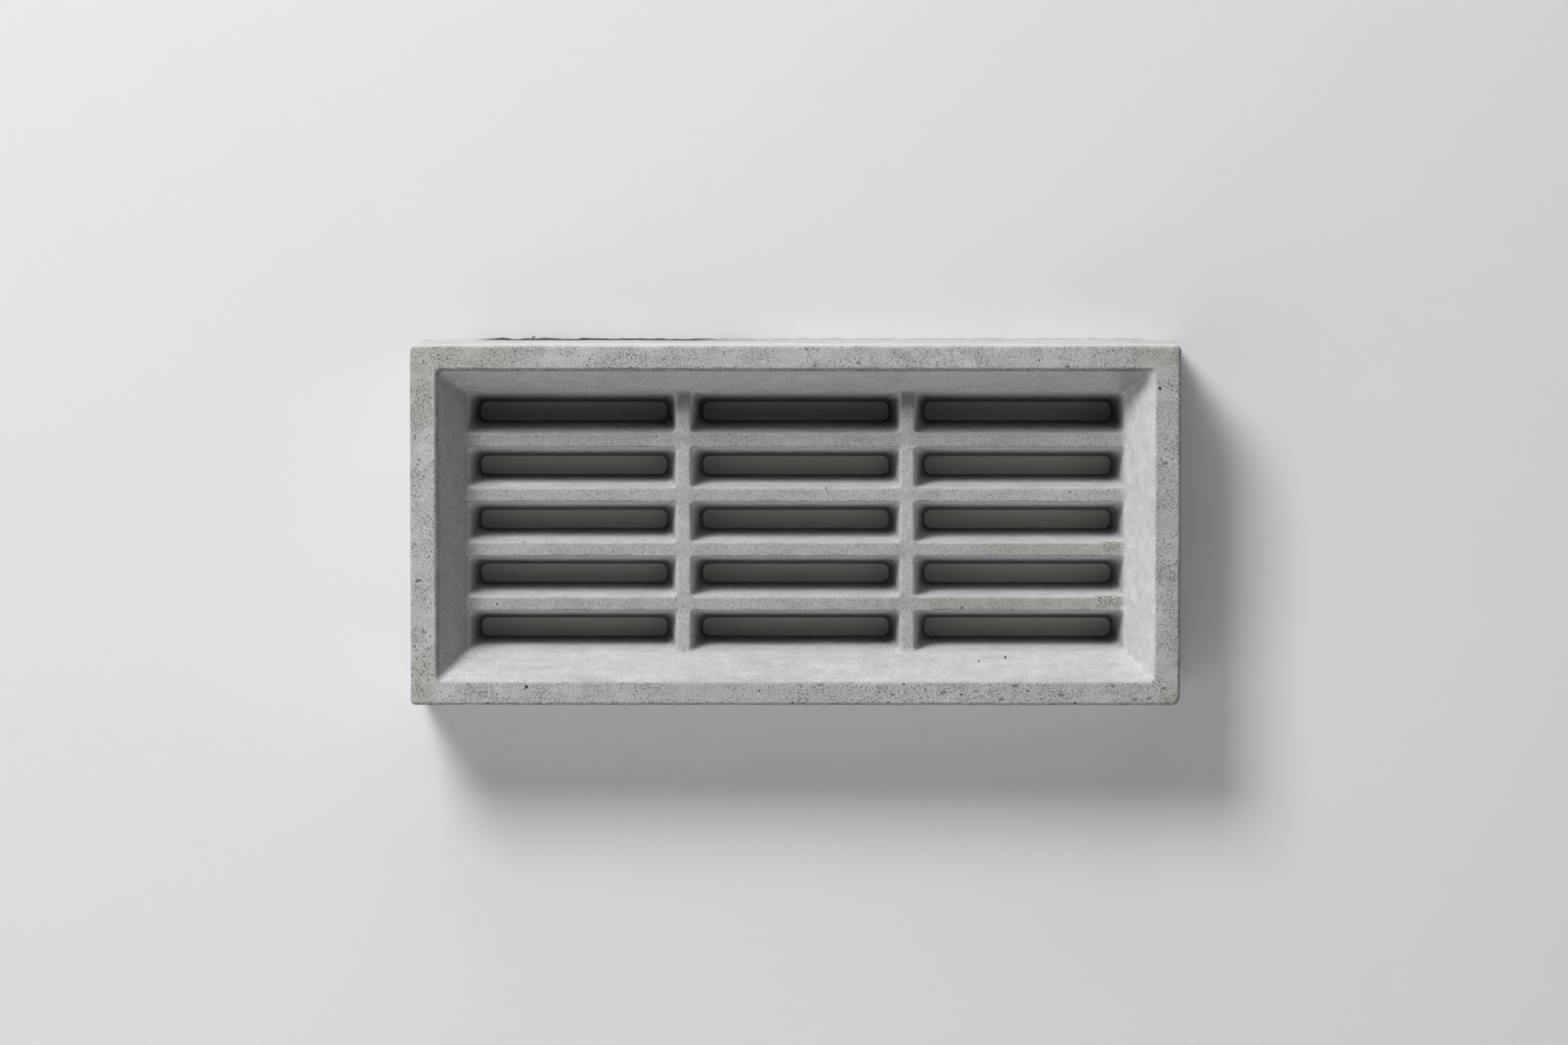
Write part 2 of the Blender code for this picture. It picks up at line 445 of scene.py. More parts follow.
# The low right corner of the outside is worn rounder than the other three.
worn_corner = 0
worn_extra = 0.0022
worn_from = 0.96
worn_over = 0.03
ring_radii = np.tile(ring_radius[:, None, None], (1, 4, 2))
worn_share = np.clip((half_x / (width / 2) - worn_from) / worn_over, 0, 1)
ring_radii[:, worn_corner] += worn_extra * worn_share[:, None]

side_shares = [share for _, _, share in front_sides]
ring = loops(ring_sides, ring_radii, np.ones((len(half_x), 4)), side_shares, ring_carried)
ring_front = np.concatenate([part for side in front_sides for part in side[:2]])
ring_back = np.concatenate([part for side in back_sides for part in side[:2]])
ring = np.concatenate([ring_front[None], ring, ring_back[None]])


def quads(ring_count, point_count, first):
    """Faces between neighbouring closed rings of a grid whose points are numbered from first."""
    row = np.arange(ring_count - 1)[:, None] * point_count + first
    here = np.arange(point_count)[None, :]
    after = (here + 1) % point_count
    below = row + point_count
    return np.stack([row + here, row + after, below + after, below + here], axis=-1).reshape(-1, 4)


patch_size = patch_rings * patch_points
faces = [quads(patch_rings, patch_points, patch * patch_size) for patch in range(columns * rows)]
faces.append(quads(*ring.shape[:2], columns * rows * patch_size)[:, ::-1])
faces = np.concatenate(faces)
point_values = ring.shape[-1]
points = np.concatenate([patches.reshape(-1, point_values), ring.reshape(-1, point_values)])

# Points of neighbouring patches that fall in one cell of a fine grid are one point.
weld_grid = 2e-6
weld_shift = 0.37
keys = np.floor(points[:, :3] / weld_grid + weld_shift).astype(np.int64)
_, kept, merged = np.unique(keys, axis=0, return_index=True, return_inverse=True)
faces = merged.reshape(-1)[faces]
places = points[kept, :3]
skin, pale, wear_shade, deep_shade = points[kept, 3:].T

block_mesh = bpy.data.meshes.new("vent_block_skin")
block_mesh.from_pydata(places, [], faces.tolist())
block_mesh.shade_smooth()
normals = np.empty(len(places) * 3)
block_mesh.vertex_normals.foreach_get("vector", normals)
normals = normals.reshape(-1, 3)

# Nothing stands proud of the drawing: the face only sinks, by slow waves of the mould, by small
# chips along the arrises, and by a crumbled stretch of the top arris against the wall.
wave_size = 0.040
wave_depth = 0.00022
ripple_size = 0.009
ripple_depth = 0.00010
chip_size = 0.0042
flake_size = 0.0021
chip_share = 0.6
chip_above = 0.5
chip_depth = 0.0009
crumble_above = 0.3
crumble_depth = 0.0016
crumble_left = -0.170
crumble_right = -0.030
crumble_forward = 0.006
crumble_down = 0.003
noise_cells = 64
noise_shift = 17.3


def lattice_noise(size, seed):
    """Smooth noise between 0 and 1 at every point: random values on a cubic lattice of the given
    size in metres, blended between the eight corners round a point by 3t² - 2t³."""
    table = np.random.default_rng(seed).random((noise_cells, noise_cells, noise_cells))
    place = places / size + noise_shift
    cell = np.floor(place).astype(int)
    share = place - cell
    share = share * share * (3 - 2 * share)
    total = np.zeros(len(places))
    for corner in product((0, 1), repeat=3):
        i, j, k = ((cell + corner) % noise_cells).T
        total += table[i, j, k] * np.prod(np.where(corner, share, 1 - share), axis=1)
    return total


sunk = wave_depth * lattice_noise(wave_size, seed=1)
sunk += ripple_depth * lattice_noise(ripple_size, seed=2)
ragged = chip_share * lattice_noise(chip_size, seed=3)
ragged += (1 - chip_share) * lattice_noise(flake_size, seed=4)
sunk += wear_shade * chip_depth * np.clip((ragged - chip_above) / (1 - chip_above), 0, 1)
near_back = np.clip(1 - (back_y - places[:, 1]) / crumble_forward, 0, 1)
near_top = np.clip(1 - (cad_high.z - places[:, 2]) / crumble_down, 0, 1)
in_stretch = (places[:, 0] > crumble_left) & (places[:, 0] < crumble_right)
crumbled = np.clip(2 * (ragged - crumble_above), 0, 1)
sunk += crumble_depth * near_back * near_top * in_stretch * crumbled
places = places - normals * sunk[:, None]
block_mesh.vertices.foreach_set("co", places.ravel())
for name, values in (("skin", skin), ("pale", pale), ("wear_shade", wear_shade), ("deep_shade", deep_shade)):
    block_mesh.attributes.new(name, "FLOAT", "POINT").data.foreach_set("value", values)
block_mesh.update()

# Its finish: grey cement with a faint olive cast, sandy on the struck faces and smoother and
# paler where it lay against the mould, with pits, blowholes, stains and a patch or two of
# honeycomb, where the mix didn't fill. All of it is matt.
concrete = bpy.data.materials.new("cast_concrete")
concrete.use_nodes = True
tree = concrete.node_tree
shader = tree.nodes["Principled BSDF"]
concrete_gloss = 0.25
shader.inputs["Specular IOR Level"].default_value = concrete_gloss


def node(tree, kind, inputs=(), **settings):
    """One shader node with its settings. An input is a number or colour, or a socket to link."""
    made = tree.nodes.new("ShaderNode" + kind)
    for name, value in settings.items():
        setattr(made, name, value)
    for socket, value in dict(inputs).items():
        if isinstance(value, bpy.types.NodeSocket):
            tree.links.new(value, made.inputs[socket])
        else:
            made.inputs[socket].default_value = value
    return made


def sum_of(tree, operation, first, *others):
    """The first value with each of the others worked into it in turn by one Math operation."""
    total = first
    for other in others:
        total = node(tree, "Math", {0: total, 1: other}, operation=operation).outputs[0]
    return total


def spread(tree, value, low, high, to_low=0.0, to_high=1.0):
    """A smooth step from to_low to to_high as the value goes from low to high."""
    inputs = {0: value, 1: low, 2: high, 3: to_low, 4: to_high}
    return node(tree, "MapRange", inputs, interpolation_type="SMOOTHSTEP").outputs[0]


object_place = node(tree, "TexCoord").outputs["Object"]
place_x, place_y, place_z = node(tree, "SeparateXYZ", {0: object_place}).outputs
skin_share, pale_share, wear_shade_share, deep_shade_share = (
    node(tree, "Attribute", attribute_name=name).outputs["Fac"]
    for name in ("skin", "pale", "wear_shade", "deep_shade")
)


def blend(first, second, share, how="MIX"):
    """Two colours mixed, or one multiplied by the other, by a share."""
    inputs = {"Factor": share, 6: first, 7: second}
    made = node(tree, "Mix", inputs, data_type="RGBA", blend_type=how, clamp_result=False)
    return made.outputs[2]


def mottle(scale, detail=2.0, roughness=0.5, place=object_place):
    """Noise about 0.5, with patches of about 1 / scale metres."""
    inputs = {"Vector": place, "Scale": scale, "Detail": detail, "Roughness": roughness}
    return node(tree, "TexNoise", inputs).outputs["Fac"]


def swing(value, amount):
    """A factor about 1 that follows a noise, by plus or minus half the amount."""
    centred = sum_of(tree, "SUBTRACT", value, 0.5)
    return sum_of(tree, "ADD", sum_of(tree, "MULTIPLY", centred, amount), 1.0)


# Each noise of the finish: patches to a metre, detail and roughness.
cloud_noise = (26.0, 3.0, 0.5)
patch_noise = (120.0, 4.0, 0.6)
streak_noise = (160.0, 3.0, 0.6)
streak_stretch = (0.25, 1.0, 1.0)
grain_noise = (900.0, 2.0, 0.6)
sand_noise = (2100.0, 1.0, 0.5)
rough_noise = (58.0, 3.0, 0.6)
scar_noise = (170.0, 3.0, 0.6)
scar_break_noise = (95.0, 2.0, 0.5)
arris_noise = (210.0, 3.0, 0.6)

streaked = node(tree, "Mapping", {"Vector": object_place, "Scale": streak_stretch})
clouds = mottle(*cloud_noise)
patches_of_tone = mottle(*patch_noise)
streaks = mottle(*streak_noise, streaked.outputs["Vector"])
grain = mottle(*grain_noise)
sand = mottle(*sand_noise)

# The rim, which was struck off level, is rougher in patches, with short thin scars.
rim_fade_start = 0.003
rim_fade_end = 0.001
rough_range = (0.42, 0.60)
scar_range = (0.016, 0.004)
scar_break_range = (0.54, 0.60)
on_rim = spread(tree, place_y, front_y + rim_fade_start, front_y + rim_fade_end)
struck_share = sum_of(tree, "SUBTRACT", 1.0, skin_share)
roughened = spread(tree, mottle(*rough_noise), *rough_range)
rough_struck = sum_of(tree, "MULTIPLY", roughened, struck_share, on_rim)
scar_line = sum_of(tree, "SUBTRACT", mottle(*scar_noise), 0.5)
scar_line = node(tree, "Math", {0: scar_line}, operation="ABSOLUTE").outputs[0]
scar_shape = spread(tree, scar_line, *scar_range)
scar_break = spread(tree, mottle(*scar_break_noise), *scar_break_range)
scars = sum_of(tree, "MULTIPLY", scar_shape, scar_break, struck_share, on_rim)

# How far each noise swings the tone, as a share of it.
cloud_swing = 0.26
bar_patch_swing = 0.22
patch_swing = 0.42
streak_swing = 0.34
sand_swing = 0.40
struck_grain = 0.85
dark_skin_grain = 1.15
skin_grain = 0.56
rough_grain = 1.1
smooth_tone = 1.03
rough_tone = 0.94
skin_swing = spread(tree, pale_share, 0.0, 1.0, dark_skin_grain, skin_grain)
grain_swing = sum_of(
    tree,
    "ADD",
    sum_of(tree, "MULTIPLY", skin_share, skin_swing),
    sum_of(tree, "MULTIPLY", struck_share, struck_grain),
    sum_of(tree, "MULTIPLY", rough_struck, rough_grain),
)
off_bars = sum_of(tree, "MAXIMUM", on_rim, skin_share)
tone = sum_of(
    tree,
    "MULTIPLY",
    swing(clouds, cloud_swing),
    swing(patches_of_tone, spread(tree, off_bars, 0.0, 1.0, bar_patch_swing, patch_swing)),
    swing(streaks, streak_swing),
    swing(grain, grain_swing),
    swing(sand, sand_swing),
    spread(tree, rough_struck, 0.0, 1.0, smooth_tone, rough_tone),
)

pit_floor = 0.45
pit_gathering = 0.08
skin_range = (0.1, 0.9)
skin_pits = 0.12
grid_pits = 0.5
scar_pits = 0.55


def pits(scale, size, gather, thinnest):
    """Small round pits: within a share of each Voronoi cell, and only where a slower noise is
    above the thinnest share that has any."""
    cells = node(tree, "TexVoronoi", {"Vector": object_place, "Scale": scale}, feature="F1")
    round_pit = spread(tree, cells.outputs["Distance"], size, size * pit_floor)
    crowd = spread(tree, mottle(gather), thinnest, thinnest + pit_gathering)
    return sum_of(tree, "MULTIPLY", round_pit, crowd)


fine_pits = pits(scale=800.0, size=0.36, gather=75.0, thinnest=0.47)
coarse_pits = pits(scale=360.0, size=0.26, gather=50.0, thinnest=0.50)
shown_pits = sum_of(
    tree,
    "MULTIPLY",
    sum_of(tree, "MAXIMUM", fine_pits, coarse_pits),
    spread(tree, skin_share, *skin_range, 1.0, skin_pits),
    spread(tree, on_rim, 0.0, 1.0, grid_pits, 1.0),
)
shown_pits = sum_of(tree, "MAXIMUM", shown_pits, sum_of(tree, "MULTIPLY", scars, scar_pits))

# A mark is a spot or a rounded bar with a soft edge, drawn through the face from the front. Its
# place is given across and up from the middle of the block.
mark_group = bpy.data.node_groups.new("surface_mark", "ShaderNodeTree")
mark_sockets = ("X", "Z", "Half Width", "Half Height", "Radius", "Softness")
mark_group.interface.new_socket("Position", in_out="INPUT", socket_type="NodeSocketVector")
for socket_name in mark_sockets:
    mark_group.interface.new_socket(socket_name, in_out="INPUT", socket_type="NodeSocketFloat")
mark_group.interface.new_socket("Mask", in_out="OUTPUT", socket_type="NodeSocketFloat")
mark_in = mark_group.nodes.new("NodeGroupInput").outputs
mark_out = mark_group.nodes.new("NodeGroupOutput").inputs
mark_place = node(mark_group, "SeparateXYZ", {0: mark_in["Position"]})
mark_beyond = []
for axis, centre, half in (("X", "X", "Half Width"), ("Z", "Z", "Half Height")):
    away = sum_of(mark_group, "SUBTRACT", mark_place.outputs[axis], mark_in[centre])
    away = node(mark_group, "Math", {0: away}, operation="ABSOLUTE").outputs[0]
    past = sum_of(mark_group, "SUBTRACT", away, mark_in[half])
    mark_beyond.append(sum_of(mark_group, "MAXIMUM", past, 0.0))
mark_offset = node(mark_group, "CombineXYZ", {"X": mark_beyond[0], "Z": mark_beyond[1]})
mark_distance = node(mark_group, "VectorMath", {0: mark_offset.outputs[0]}, operation="LENGTH")
mark_edge = sum_of(mark_group, "ADD", mark_in["Radius"], mark_in["Softness"])
mark_mask = spread(mark_group, mark_distance.outputs["Value"], mark_edge, mark_in["Radius"])
mark_group.links.new(mark_mask, mark_out["Mask"])


def jittered(scale, amount):
    """The place on the surface, moved about by a noise of up to half the amount in metres."""
    inputs = {"Vector": object_place, "Scale": scale, "Detail": 3.0}
    noise = node(tree, "TexNoise", inputs).outputs["Color"]
    centred = node(tree, "VectorMath", {0: noise, 1: (0.5, 0.5, 0.5)}, operation="SUBTRACT")
    inputs = {0: centred.outputs[0], 1: (amount, amount, amount), 2: object_place}
    return node(tree, "VectorMath", inputs, operation="MULTIPLY_ADD").outputs[0]


def mark(tree, place, x, z, radius, half_width=0.0, half_height=0.0, softness=0.0003):
    """The mask of one mark: 1 within its radius of a box about its centre, fading to 0."""
    values = (x, middle_z + z, half_width, half_height, radius, softness)
    inputs = {"Position": place, **dict(zip(mark_sockets, values))}
    return node(tree, "Group", inputs, node_tree=mark_group).outputs["Mask"]


def marks(place, rows, softness, strength=1.0):
    """The masks of a list of marks laid over one another, at a strength. A row gives the place
    across and up, the radius and, for a long mark, its half width and half height."""
    masks = [mark(tree, place, *row, softness=softness) for row in rows]
    return sum_of(tree, "MULTIPLY", sum_of(tree, "MAXIMUM", *masks), strength)


# Blowholes, left by air against the mould: the place and radius of each.
blowholes = [
    (-0.1980, 0.0348, 0.0003),
    (-0.1955, 0.0260, 0.0003),
    (-0.0740, 0.0452, 0.0003),
    (-0.1575, 0.0477, 0.0002),
    (-0.1444, -0.0111, 0.0002),
    (-0.0970, -0.0160, 0.0002),
    (-0.1586, -0.0440, 0.0003),
    (0.0163, 0.0179, 0.0003),
    (0.1458, 0.0158, 0.0003),
    (0.0884, -0.0460, 0.0004),
    (0.1281, 0.0871, 0.0003),
    (0.1916, 0.0725, 0.0007),
    (-0.1418, -0.0852, 0.0007),
    (-0.1621, -0.0940, 0.0004),
    (-0.0191, -0.0872, 0.0003),
    (-0.0014, -0.0935, 0.0004),
    (0.0572, -0.0837, 0.0004),
    (0.0874, -0.0891, 0.0004),
    (0.1474, -0.0935, 0.0004),
    (0.1113, -0.0717, 0.0004),
    (0.0972, -0.0733, 0.0002),
    (-0.1044, -0.0677, 0.0003),
]
# Fine cracks across the right rim: the middle and half width of each.
cracks = [
    (0.1935, -0.0223, 0.0018),
    (0.1968, -0.0213, 0.0016),
    (0.1998, -0.0205, 0.0014),
    (0.1933, -0.0520, 0.0010),
    (0.1953, -0.0697, 0.0010),
]
# Soft flecks on the rim: the middle and half width of each.
flecks = [
    (0.0514, -0.0895, 0.0006),
    (0.0780, -0.0882, 0.0010),
    (0.0950, -0.0874, 0.0006),
    (0.1087, -0.0917, 0.0005),
    (0.1159, -0.0845, 0.0008),
    (0.1224, -0.0871, 0.0004),
    (0.1401, -0.0893, 0.0010),
    (0.1672, -0.0845, 0.0006),
    (0.1791, -0.0917, 0.0006),
    (0.1866, -0.0911, 0.0004),
    (0.1941, -0.0858, 0.0006),
    (0.1945, 0.0330, 0.0008),
    (-0.1985, -0.0290, 0.0008),
    (-0.1960, -0.0560, 0.0006),
    (0.1430, 0.0840, 0.0006),
    (0.0330, 0.0860, 0.0005),
]
hole_softness = 0.0004
crack_softness = 0.0003
crack_strength = 0.7
fleck_radius = 0.0004
fleck_softness = 0.0007
fleck_strength = 0.6
long_cracks = [(x, z, 0.0, half) for x, z, half in cracks]
long_flecks = [(x, z, fleck_radius, half) for x, z, half in flecks]
hole_place = jittered(scale=700.0, amount=0.0008)
fleck_place = jittered(scale=420.0, amount=0.0018)
holes = sum_of(
    tree,
    "MAXIMUM",
    marks(hole_place, blowholes, hole_softness),
    marks(hole_place, long_cracks, crack_softness, crack_strength),
    marks(fleck_place, long_flecks, fleck_softness, fleck_strength),
)
marks_end = 0.0035
marks_fade = 0.0025
seen_from_front = spread(tree, place_y, grid_y + marks_end, grid_y + marks_fade)
holes = sum_of(tree, "MULTIPLY", holes, seen_from_front)

# Damp stains: the place, radius, half width and half height of each.
stains = [
    (-0.1740, 0.0900, 0.002, 0.022, 0.003),
    (-0.1990, 0.0740, 0.003, 0.002, 0.014),
    (0.1900, 0.0910, 0.003, 0.008, 0.002),
    (0.1990, -0.0900, 0.002, 0.003, 0.002),
    (-0.1960, -0.0820, 0.002, 0.002, 0.006),
    (0.1150, -0.0435, 0.002, 0.040, 0.001),
    (0.1350, -0.0140, 0.002, 0.030, 0.001),
]
stain_softness = 0.004
stain_place = jittered(scale=120.0, amount=0.014)
stained = sum_of(tree, "MULTIPLY", marks(stain_place, stains, stain_softness), struck_share)

# Honeycomb, at the right ends of two bars: given as the stains are.
honeycombs = [
    (0.1680, -0.0132, 0.0002, 0.0030, 0.0010),
    (0.1660, -0.0418, 0.0002, 0.0045, 0.0012),
]
comb_softness = 0.0035
comb_noise = (1300.0, 1.0, 0.6)
comb_range = (0.40, 0.58)
comb_place = jittered(scale=350.0, amount=0.006)
combed = marks(comb_place, honeycombs, comb_softness)
combed = sum_of(tree, "MULTIPLY", combed, seen_from_front)
comb_shape = spread(tree, mottle(*comb_noise), *comb_range)

# Dirt and painted shade in the joint with the wall along the crumbled stretch of the top: a dark
# band that is partly dirt and partly the painted shade of the gap behind the crumbled arris.
dirt_shade_noise = (150.0, 4.0, 0.7)
dirt_shade_range = (0.32, 0.56)
dirt_shade_forward = (0.014, 0.006)
dirt_shade_down = (0.004, 0.002)
dirt_shade_fade = 0.010
dirt_shade_right_fade = 0.040
dirt_and_shade = sum_of(
    tree,
    "MULTIPLY",
    spread(tree, place_y, back_y - dirt_shade_forward[0], back_y - dirt_shade_forward[1]),
    spread(tree, place_x, crumble_left - dirt_shade_fade, crumble_left + dirt_shade_fade),
    spread(tree, place_x, crumble_right + dirt_shade_right_fade, crumble_right - dirt_shade_fade),
    spread(tree, mottle(*dirt_shade_noise), *dirt_shade_range),
    spread(tree, place_z, cad_high.z - dirt_shade_down[0], cad_high.z - dirt_shade_down[1]),
)

# Painted shadow on the bars' left ends and the mullions' tops, where the rim's shadow falls, and
# painted shade in the splay's high right corner.
left_shadow_strength = 0.62
left_shadow_reach = 0.011
top_shadow_reach = 0.014
shadow_full = 0.002
on_grid_range = (-0.003, -0.0005)
splay_above = 0.002
corner_shadow = 0.55
corner_mark = (0.1790, 0.0775, 0.0015, 0.0040, 0.0010)
corner_softness = 0.009
grid_left = -grid_width / 2
grid_top = middle_z + grid_height / 2
at_left = spread(tree, place_x, grid_left + left_shadow_reach, grid_left - shadow_full)
at_top = spread(tree, place_z, grid_top - top_shadow_reach, grid_top - shadow_full)
on_grid = spread(tree, place_y, grid_y + on_grid_range[0], grid_y + on_grid_range[1])
grid_shadow = sum_of(tree, "MAXIMUM", sum_of(tree, "MULTIPLY", at_left, left_shadow_strength), at_top)
grid_shadow = sum_of(tree, "MULTIPLY", grid_shadow, on_grid, struck_share)
in_splay = spread(tree, place_y, grid_y, grid_y - splay_above)
in_corner = mark(tree, stain_place, *corner_mark, softness=corner_softness)
splay_shadow = sum_of(tree, "MULTIPLY", in_corner, in_splay, skin_share, corner_shadow)
painted_shadow = sum_of(tree, "MAXIMUM", grid_shadow, splay_shadow)

# The arris darkening: partly wear, broken by a noise, and partly painted shade, strongest on the
# edges that turn from the light.
arris_range = (0.38, 0.60)
unbroken_arris = 0.72
arris_break = spread(tree, mottle(*arris_noise), *arris_range, unbroken_arris, 1.0)
worn_and_shaded = sum_of(tree, "MULTIPLY", wear_shade_share, arris_break)

damp_and_shade_colour = (0.360, 0.3615, 0.3615, 1.0)
bloom_and_light_colour = (0.722, 0.728, 0.722, 1.0)
struck_tint = (1.0, 0.994, 0.970, 1.0)
deep_shade_colour = (0.61, 0.60, 0.57, 1.0)
painted_shadow_colour = (0.52, 0.52, 0.52, 1.0)
wear_shade_colour = (0.50, 0.50, 0.49, 1.0)
stain_colour = (0.90, 0.90, 0.865, 1.0)
comb_dark = (0.22, 0.21, 0.175, 1.0)
comb_light = (0.74, 0.73, 0.660, 1.0)
hole_colour = (0.055, 0.055, 0.050, 1.0)
comb_strength = 0.85
pit_strength = 0.58
dirt_and_shade_strength = 0.75

# Painted light and shade are part of this colour: the paleness is lighter on the sides that face
# the lamps and darker on those in shade and on the top bar, the darkening deep in the slots is
# painted shade, the darkening of the bars' left ends, the mullions' tops and the splay's high right
# corner is painted shadow, and the dark worn edges are partly wear and partly painted shade.
colour = blend(damp_and_shade_colour, bloom_and_light_colour, pale_share)
colour = blend(colour, struck_tint, struck_share, "MULTIPLY")
colour = blend(colour, deep_shade_colour, deep_shade_share, "MULTIPLY")
colour = blend(colour, painted_shadow_colour, painted_shadow, "MULTIPLY")
colour = blend(colour, wear_shade_colour, worn_and_shaded, "MULTIPLY")
colour = node(tree, "VectorMath", {0: colour, "Scale": tone}, operation="SCALE").outputs[0]
colour = blend(colour, stain_colour, stained, "MULTIPLY")
comb_spots = blend(comb_dark, comb_light, comb_shape)
colour = blend(colour, comb_spots, sum_of(tree, "MULTIPLY", combed, comb_strength))
colour = blend(colour, hole_colour, sum_of(tree, "MULTIPLY", shown_pits, pit_strength))
colour = blend(colour, hole_colour, holes)
colour = blend(colour, hole_colour, sum_of(tree, "MULTIPLY", dirt_and_shade, dirt_and_shade_strength))
tree.links.new(colour, shader.inputs["Base Color"])

damp_roughness = 0.80
dry_roughness = 0.94
dry_range = (0.3, 0.7)
dryness = spread(tree, patches_of_tone, *dry_range, damp_roughness, dry_roughness)
tree.links.new(dryness, shader.inputs["Roughness"])

# How high each part of the relief stands, in metres.
grain_relief = 0.00022
patch_relief = 0.00030
pit_relief = -0.00025
comb_relief = 0.0006
relief = sum_of(
    tree,
    "ADD",
    sum_of(tree, "MULTIPLY", grain, grain_relief),
    sum_of(tree, "MULTIPLY", patches_of_tone, patch_relief),
    sum_of(tree, "MULTIPLY", shown_pits, pit_relief),
    sum_of(tree, "MULTIPLY", combed, comb_shape, comb_relief),
)
bump = node(tree, "Bump", {"Strength": 1.0, "Distance": 1.0, "Height": relief})
tree.links.new(bump.outputs["Normal"], shader.inputs["Normal"])

block_mesh.materials.append(concrete)
block = bpy.data.objects.new("vent_block_skin", block_mesh)
bpy.context.scene.collection.objects.link(block)
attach(block, "root")
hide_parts("vent_block")

# The wall behind, a plain pale sheet with a hair's gap to the block, and the floor, well below.
# Both are seen from their front only, so that the block's back can be looked at too.
wall_gap = 0.0004
wall_half = 2.4
floor_z = -0.45


def one_sided(name, colour, window=None):
    """A matt colour on the front of a sheet, and nothing on its back. Within a window, given by its
    half width and half height about the block's middle, it doesn't shade anything from a lamp."""
    material = bpy.data.materials.new(name)
    material.use_nodes = True
    nodes = material.node_tree
    plain = nodes.nodes["Principled BSDF"]
    plain.inputs["Base Color"].default_value = colour
    plain.inputs["Roughness"].default_value = 1.0
    plain.inputs["Specular IOR Level"].default_value = 0.0
    unseen = node(nodes, "NewGeometry").outputs["Backfacing"]
    if window:
        place = node(nodes, "SeparateXYZ", {0: node(nodes, "TexCoord").outputs["Object"]}).outputs
        open_here = node(nodes, "LightPath").outputs["Is Shadow Ray"]
        for axis, middle, half in (("X", 0.0, window[0]), ("Z", middle_z, window[1])):
            inputs = {0: place[axis], 1: middle, 2: half}
            inside = node(nodes, "Math", inputs, operation="COMPARE").outputs[0]
            open_here = sum_of(nodes, "MULTIPLY", open_here, inside)
        unseen = sum_of(nodes, "MAXIMUM", unseen, open_here)
    clear = node(nodes, "BsdfTransparent").outputs[0]
    either = node(nodes, "MixShader", {0: unseen, 1: plain.outputs[0], 2: clear}).outputs[0]
    nodes.links.new(either, nodes.nodes["Material Output"].inputs["Surface"])
    return material


def sheet(name, corners, material):
    """One flat four-cornered sheet that faces the side its corners go round anticlockwise."""
    mesh = bpy.data.meshes.new(name)
    mesh.from_pydata(corners, [], [range(len(corners))])
    mesh.materials.append(material)
    made = bpy.data.objects.new(name, mesh)
    bpy.context.scene.collection.objects.link(made)


wall_white = (0.85, 0.85, 0.85, 1.0)
wall_y = back_y + wall_gap
wall_paint = one_sided("wall_paint", wall_white, window=(width / 2, height / 2))
paint_tree = wall_paint.node_tree
paint_place = node(paint_tree, "TexCoord").outputs["Object"]
paint_x, _, paint_z = node(paint_tree, "SeparateXYZ", {0: paint_place}).outputs

# The joint over the block: a dark crumbled line, partly dirt and partly painted shade of the gap,
# bold over the crumbled stretch, where a crumb stands up from it, and a hair after that.
joint_height = -0.0001
joint_wander = 0.0030
joint_scale = 130.0
joint_detail = 6.0
joint_half = (0.0011, 0.0003)
joint_start = (-0.004, 0.012)
joint_thins_over = 0.030
joint_thin = 0.25
joint_full = 0.95
joint_end = (0.192, 0.180)
crumb_x = -0.1405
crumb_z = height / 2 + 0.0009
crumb_radius = 0.0007
crumb_strength = 0.7
joint_shade_and_dirt = (0.10, 0.10, 0.093, 1.0)
joint_inputs = {"Vector": paint_place, "Scale": joint_scale, "Detail": joint_detail}
joint_noise = node(paint_tree, "TexNoise", joint_inputs).outputs["Fac"]
joint_shift = sum_of(paint_tree, "SUBTRACT", joint_noise, 0.5)
joint_shift = sum_of(paint_tree, "MULTIPLY", joint_shift, joint_wander)
joint_off = sum_of(paint_tree, "SUBTRACT", paint_z, cad_high.z + joint_height)
joint_off = sum_of(paint_tree, "ADD", joint_off, joint_shift)
joint_off = node(paint_tree, "Math", {0: joint_off}, operation="ABSOLUTE").outputs[0]
bold_from = (crumble_right, crumble_right - joint_thins_over)
joint_mask = sum_of(
    paint_tree,
    "MULTIPLY",
    spread(paint_tree, joint_off, *joint_half),
    spread(paint_tree, paint_x, crumble_left + joint_start[0], crumble_left + joint_start[1]),
    spread(paint_tree, paint_x, *bold_from, joint_thin, joint_full),
    spread(paint_tree, paint_x, *joint_end),
)
crumb = mark(paint_tree, paint_place, crumb_x, crumb_z, crumb_radius, softness=crumb_radius)
crumb = sum_of(paint_tree, "MULTIPLY", crumb, crumb_strength)
joint_mask = sum_of(paint_tree, "MAXIMUM", joint_mask, crumb)
joint_mix = {0: joint_mask, 6: wall_white, 7: joint_shade_and_dirt}
wall_colour = node(paint_tree, "Mix", joint_mix, data_type="RGBA").outputs[2]
paint_tree.links.new(wall_colour, paint_tree.nodes["Principled BSDF"].inputs["Base Color"])
sheet(
    "wall",
    [
        (-wall_half, wall_y, floor_z),
        (wall_half, wall_y, floor_z),
        (wall_half, wall_y, wall_half),
        (-wall_half, wall_y, wall_half),
    ],
    wall_paint,
)
sheet(
    "floor",
    [
        (-wall_half, -wall_half, floor_z),
        (wall_half, -wall_half, floor_z),
        (wall_half, wall_half, floor_z),
        (-wall_half, wall_half, floor_z),
    ],
    one_sided("floor_paint", wall_white),
)

